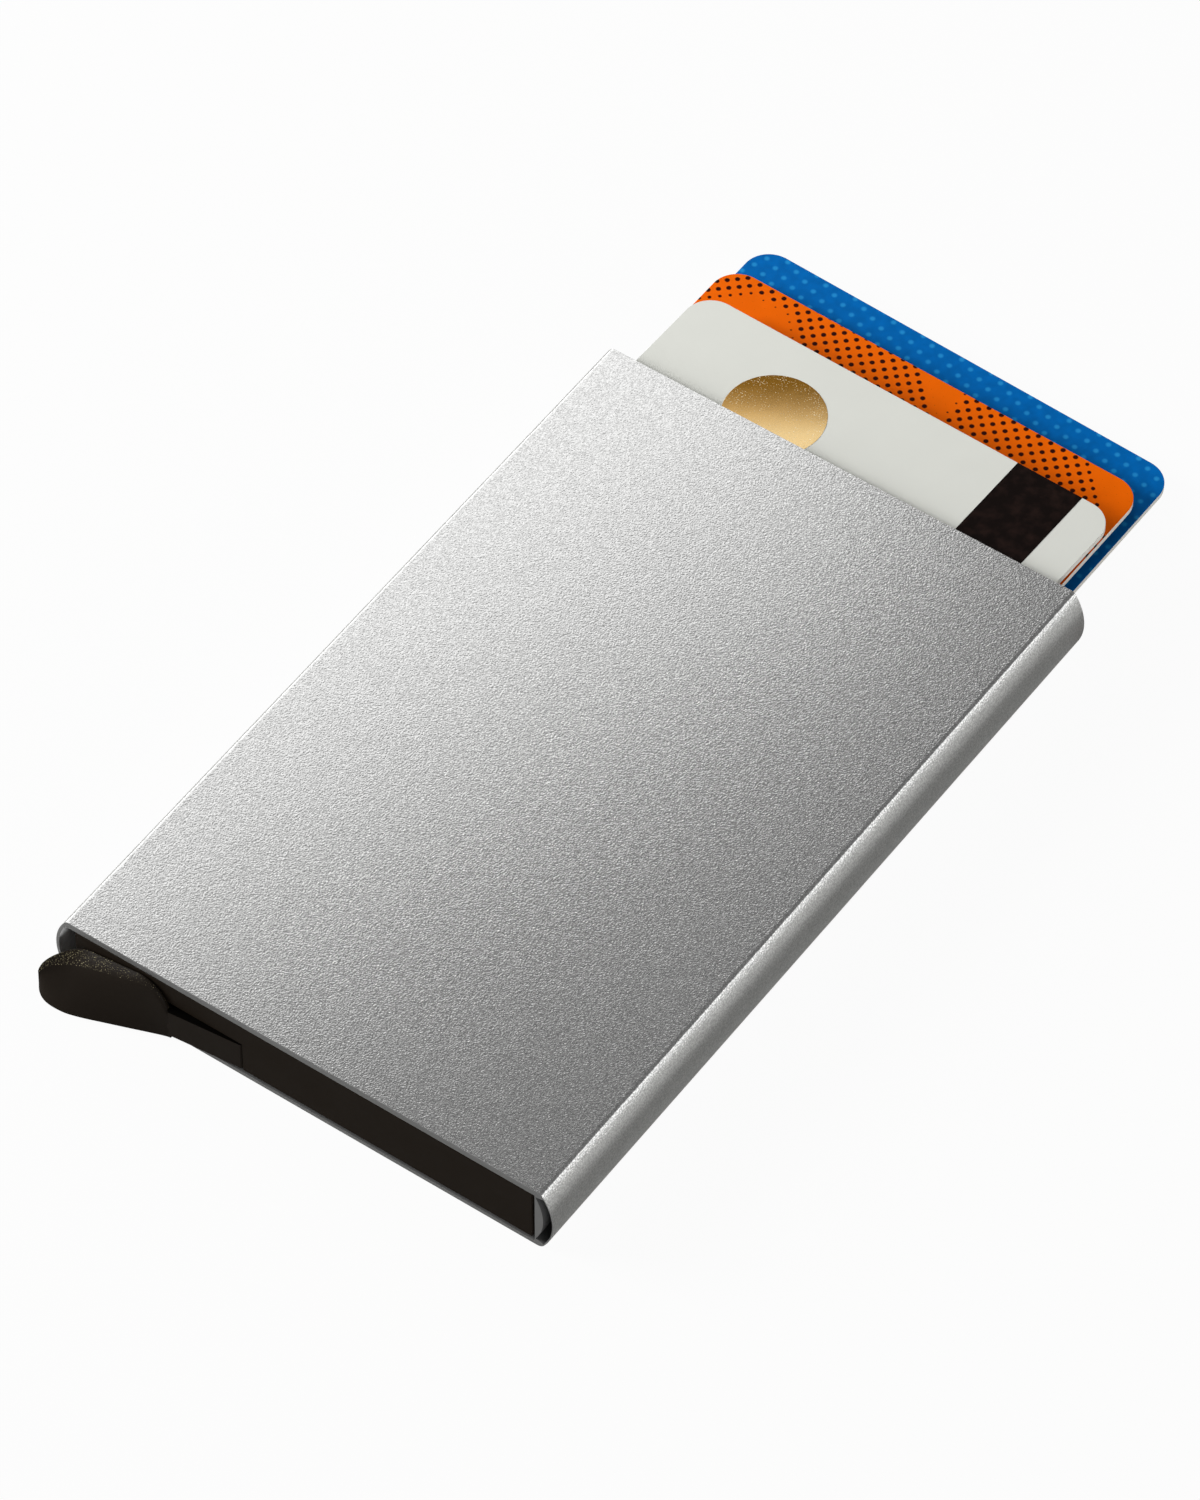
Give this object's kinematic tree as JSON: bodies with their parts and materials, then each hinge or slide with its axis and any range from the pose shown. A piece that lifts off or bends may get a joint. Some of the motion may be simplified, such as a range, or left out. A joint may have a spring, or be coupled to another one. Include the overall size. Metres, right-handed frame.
{
  "type": "rfid card holder",
  "caption": "Slim aluminium card holder with a black thumb lever that fans the cards out; white, orange and blue cards stand out of the mouth.",
  "frame": {"origin": "middle of the case's flat underside", "axes": "+Y along the case, from the lever end to the mouth; +Z out of the flat top; +X to the right seen from above with the mouth away"},
  "size_m": [0.0622, 0.1258, 0.0089],
  "materials": {
    "shell": "bead-blasted, clear anodised",
    "end_cap": "fine-textured moulded nylon",
    "lever": "fine-textured moulded nylon with a grained thumb face",
    "pivot_pin": "ground stainless steel",
    "return_spring": "drawn spring steel",
    "card_spring": "rolled stainless spring steel",
    "card_white": "satin laminated card",
    "magnetic_stripe": "printed magnetic stripe",
    "foil_disc": "hot-stamped gold foil",
    "card_orange": "satin laminated card, printed dots",
    "card_blue": "satin laminated card, printed dots"
  },
  "bodies": {
    "case": {"shell": "shell", "end_cap": "end_cap", "pivot_pin": "pivot_pin", "return_spring": "return_spring", "card_spring": "card_spring"},
    "lever": {"lever": "lever"},
    "white_card": {"card_white": "card_white", "magnetic_stripe": "magnetic_stripe", "foil_disc": "foil_disc"},
    "orange_card": {"card_orange": "card_orange"},
    "blue_card": {"card_blue": "card_blue"}
  },
  "joints": [
    {"name": "lever_pivot", "type": "hinge", "parent": "case", "child": "lever", "pos_m": [-0.0126, -0.04455, 0.00295], "axis": [0, 0, 1], "range_deg": [0, 45], "stiffness_Nm_per_rad": 0.01, "deforming": ["return_spring"]},
    {"name": "white_card_slide", "type": "slide", "parent": "case", "child": "white_card", "axis": [0, 1, 0], "range_m": [0, 0.08]},
    {"name": "orange_card_slide", "type": "slide", "parent": "case", "child": "orange_card", "axis": [0, 1, 0], "range_m": [0, 0.074]},
    {"name": "blue_card_slide", "type": "slide", "parent": "case", "child": "blue_card", "axis": [0, 1, 0], "range_m": [0, 0.068]}
  ]
}
